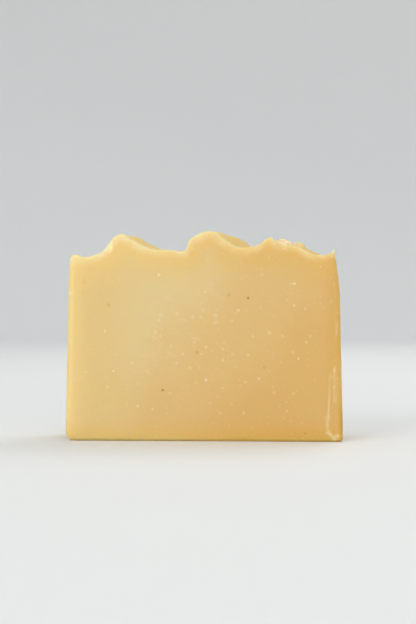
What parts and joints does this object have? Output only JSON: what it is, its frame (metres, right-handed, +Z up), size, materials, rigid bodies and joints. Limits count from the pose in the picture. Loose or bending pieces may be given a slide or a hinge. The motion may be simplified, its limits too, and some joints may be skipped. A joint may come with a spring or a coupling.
{
  "type": "bar of soap",
  "caption": "Handmade loaf-cut bar of soap standing on its long edge, with flat knife-cut faces, rounded edges and a top swirled into leaning waves.",
  "frame": {"origin": "middle of the footprint, on the flat surface that the bar stands on", "axes": "+X along the bar's width, to the right of a person facing the front cut; +Y through the slice's thickness, from the front cut to the back cut; +Z up, from the mould's bottom to the swirled top"},
  "size_m": [0.0895, 0.025, 0.0675],
  "materials": {
    "soap": "waxy satin cream soap, paler at the core and deeper yellow towards the edges, with fine pale and a few dark specks"
  },
  "bodies": {
    "root": {"soap_bar": "soap"}
  },
  "joints": []
}
